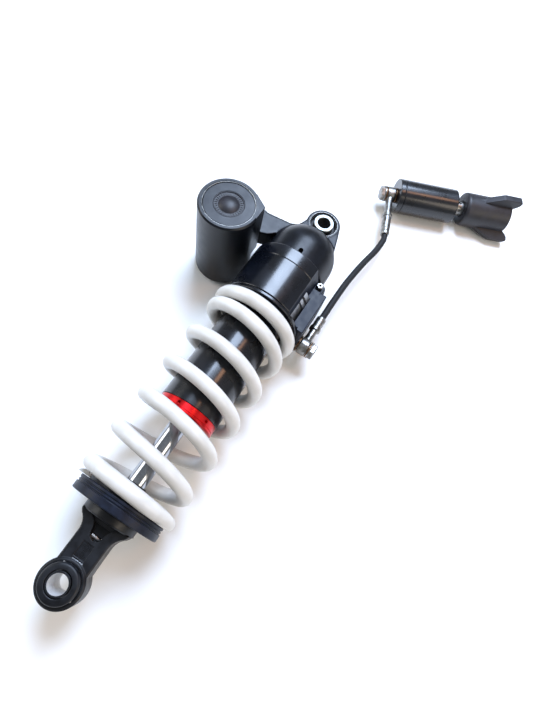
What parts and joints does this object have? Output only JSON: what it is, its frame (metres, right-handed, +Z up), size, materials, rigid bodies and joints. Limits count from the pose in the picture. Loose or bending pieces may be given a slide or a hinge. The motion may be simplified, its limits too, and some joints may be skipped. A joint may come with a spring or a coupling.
{
  "type": "motorcycle rear shock absorber",
  "caption": "Coil-over rear shock with a side gas reservoir and a remote hydraulic spring preload adjuster on a hose, lying on its side.",
  "frame": {"origin": "Bottom centre of the bounding box, on the surface that the shock lies on.", "axes": "+X runs along the shock from the lower eye to the upper eye, +Y points to the reservoir side, and +Z is up, along both eye bores."},
  "size_m": [0.5964, 0.2781, 0.0966],
  "materials": {
    "satin_black": "cast and machined aluminium, satin black anodised",
    "gloss_black": "turned aluminium, gloss black anodised",
    "grey_plastic": "matte dark grey moulded plastic",
    "white_paint": "spring steel, off-white powder coat",
    "hard_chrome": "hard chromed and polished steel",
    "red_anodised": "turned aluminium, red anodised",
    "zinc_steel": "zinc plated steel",
    "bearing_steel": "ground bearing steel",
    "copper": "soft copper sealing washer",
    "aluminium": "plain machined aluminium",
    "black_rubber": "black rubber",
    "bump_foam": "dark closed-cell foam",
    "ptfe": "bronze-filled fluoropolymer"
  },
  "bodies": {
    "damper_body": {"head_casting": "satin_black", "reservoir_cap": "satin_black", "cap_o_ring": "black_rubber", "cap_snap_ring": "zinc_steel", "cap_plug": "grey_plastic", "gas_valve": "bearing_steel", "damper_tube": "gloss_black", "tube_end_cap": "red_anodised", "dust_wiper": "black_rubber", "seal_head": "aluminium", "rod_seal": "black_rubber", "preload_cylinder": "gloss_black", "bleed_screw": "zinc_steel", "upper_bearing_race": "bearing_steel", "upper_seal_near": "black_rubber", "upper_seal_far": "black_rubber", "coil_spring": "white_paint", "shock_banjo_washer_inner": "copper", "shock_banjo_washer_outer": "copper", "shock_banjo_bolt": "zinc_steel", "shock_banjo_fitting": "zinc_steel", "hydraulic_hose": "black_rubber", "remote_banjo_washer_inner": "copper", "remote_banjo_washer_outer": "copper", "remote_banjo_bolt": "zinc_steel", "remote_banjo_fitting": "zinc_steel", "remote_body": "gloss_black", "remote_end_cap": "aluminium", "detent_sleeve": "zinc_steel"},
    "rod_assembly": {"piston_rod": "hard_chrome", "top_out_spacer": "aluminium", "rebound_shims": "bearing_steel", "damper_piston": "aluminium", "piston_band": "ptfe", "compression_shims": "bearing_steel", "piston_nut": "zinc_steel", "bump_stop": "bump_foam", "lower_spring_seat": "satin_black", "lower_clevis": "satin_black", "lower_bearing_shell": "bearing_steel", "lower_dust_cover_near": "satin_black", "lower_dust_cover_far": "satin_black"},
    "gas_piston": {"reservoir_piston": "aluminium", "reservoir_piston_seal": "black_rubber"},
    "knob": {"adjuster_knob": "grey_plastic", "remote_spindle": "zinc_steel", "detent_ball": "bearing_steel"},
    "remote_plunger": {"remote_piston": "aluminium", "remote_piston_seal": "black_rubber"},
    "preload_ring": {"preload_piston": "aluminium", "preload_outer_seal": "black_rubber", "preload_inner_seal": "black_rubber", "upper_spring_seat": "gloss_black"},
    "rebound_adjuster": {"rebound_screw": "zinc_steel"},
    "needle": {"rebound_needle": "bearing_steel"},
    "upper_ball": {"upper_bearing_ball": "bearing_steel"},
    "upper_bushes": {"upper_bush_near": "zinc_steel", "upper_bush_far": "zinc_steel"},
    "lower_sleeves": {"lower_sleeve_near": "bearing_steel", "lower_sleeve_far": "bearing_steel"}
  },
  "joints": [
    {"name": "stroke", "type": "slide", "parent": "damper_body", "child": "rod_assembly", "axis": [1, 0, 0], "range_m": [0, 0.058], "stiffness_N_per_m": 90000, "deforming": ["coil_spring"]},
    {"name": "gas_piston_slide", "type": "slide", "parent": "damper_body", "child": "gas_piston", "axis": [0, 0, 1], "range_m": [0, 0.00747]},
    {"name": "preload_knob", "type": "hinge", "parent": "damper_body", "child": "knob", "pos_m": [0.21575, -0.0031, 0.019], "axis": [0.4345, -0.9007, 0], "range_deg": [0, 3600]},
    {"name": "remote_piston_slide", "type": "slide", "parent": "damper_body", "child": "remote_plunger", "axis": [-0.4345, 0.9007, 0], "range_m": [0, 0.01501]},
    {"name": "preload_ring_slide", "type": "slide", "parent": "damper_body", "child": "preload_ring", "axis": [-1, 0, 0], "range_m": [0, 0.00685], "deforming": ["coil_spring"]},
    {"name": "rebound_screw_turn", "type": "hinge", "parent": "rod_assembly", "child": "rebound_adjuster", "pos_m": [-0.24565, 0.039, 0.044], "axis": [0, 1, 0], "range_deg": [0, 720]},
    {"name": "rebound_needle_slide", "type": "slide", "parent": "rod_assembly", "child": "needle", "axis": [1, 0, 0], "range_m": [0, 0.002]},
    {"name": "upper_eye_tilt", "type": "hinge", "parent": "damper_body", "child": "upper_ball", "pos_m": [0.09935, 0.039, 0.044], "axis": [1, 0, 0], "range_deg": [-6, 6]},
    {"name": "upper_eye_spin", "type": "hinge", "parent": "upper_ball", "child": "upper_bushes", "pos_m": [0.09935, 0.039, 0.044], "axis": [0, 0, 1], "range_deg": [-30, 30]},
    {"name": "lower_eye_spin", "type": "hinge", "parent": "rod_assembly", "child": "lower_sleeves", "pos_m": [-0.28065, 0.039, 0.044], "axis": [0, 0, 1], "range_deg": [-30, 30]}
  ],
  "couplings": [
    {"joint": "gas_piston_slide", "follows": "stroke", "ratio": 0.1287},
    {"joint": "remote_piston_slide", "follows": "preload_ring_slide", "ratio": 2.1883},
    {"joint": "preload_knob", "follows": "preload_ring_slide", "rad_per_m": 9166.4},
    {"joint": "rebound_screw_turn", "follows": "rebound_needle_slide", "rad_per_m": 6283.2}
  ]
}
